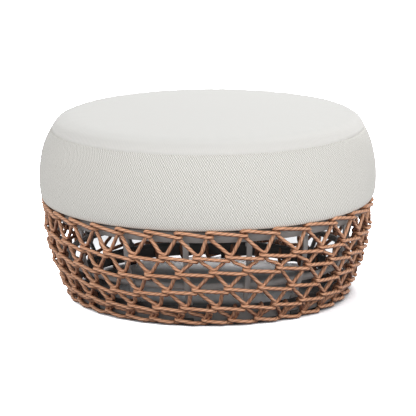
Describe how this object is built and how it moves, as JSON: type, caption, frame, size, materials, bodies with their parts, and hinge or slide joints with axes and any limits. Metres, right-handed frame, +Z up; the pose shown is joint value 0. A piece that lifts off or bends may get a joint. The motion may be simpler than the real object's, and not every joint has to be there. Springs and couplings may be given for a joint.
{
  "type": "outdoor ottoman footstool",
  "caption": "Round outdoor ottoman: a drum cushion on an open basket of twisted strand, laced in zigzags over a ribbed metal frame.",
  "frame": {"origin": "on the floor, under the middle of the ottoman: the bottom centre of its box", "axes": "+Z up, the way the cushion lifts off; -Y towards the camera side of the picture, +X to its right"},
  "size_m": [0.8, 0.8007, 0.448],
  "materials": {
    "frame_metal": "satin",
    "twisted_strand": "matte",
    "cover_fabric": "matte",
    "foam": "matte",
    "glide_plastic": "matte",
    "zip_tape": "matte",
    "zip_metal": "satin"
  },
  "bodies": {
    "basket": {"top_ring": "frame_metal", "hoop_ring": "frame_metal", "base_ring": "frame_metal", "rib_01": "frame_metal", "rib_02": "frame_metal", "rib_03": "frame_metal", "rib_04": "frame_metal", "rib_05": "frame_metal", "rib_06": "frame_metal", "rib_07": "frame_metal", "rib_08": "frame_metal", "rib_09": "frame_metal", "rib_10": "frame_metal", "rib_11": "frame_metal", "rib_12": "frame_metal", "rib_13": "frame_metal", "rib_14": "frame_metal", "rib_15": "frame_metal", "rib_16": "frame_metal", "slat_1": "frame_metal", "slat_2": "frame_metal", "slat_3": "frame_metal", "slat_4": "frame_metal", "slat_5": "frame_metal", "slat_6": "frame_metal", "slat_7": "frame_metal", "bearer_left": "frame_metal", "bearer_right": "frame_metal", "glide_1": "glide_plastic", "glide_2": "glide_plastic", "glide_3": "glide_plastic", "glide_4": "glide_plastic", "glide_5": "glide_plastic", "glide_6": "glide_plastic", "glide_7": "glide_plastic", "glide_8": "glide_plastic", "rail_strand_1": "twisted_strand", "rail_strand_2": "twisted_strand", "rail_strand_3": "twisted_strand", "rail_strand_4": "twisted_strand", "rail_strand_5": "twisted_strand", "rail_strand_6": "twisted_strand", "lace_strand_1": "twisted_strand", "lace_strand_2": "twisted_strand", "lace_strand_3": "twisted_strand", "lace_strand_4": "twisted_strand", "lace_strand_5": "twisted_strand"},
    "cushion": {"cushion_core": "foam", "cover_base": "cover_fabric", "cover_band": "cover_fabric", "cover_top": "cover_fabric", "zip_tape": "zip_tape", "zip_pull": "zip_metal"}
  },
  "joints": [
    {"name": "cushion_lift", "type": "slide", "parent": "basket", "child": "cushion", "axis": [0, 0, 1], "range_m": [0, 0.25]}
  ]
}
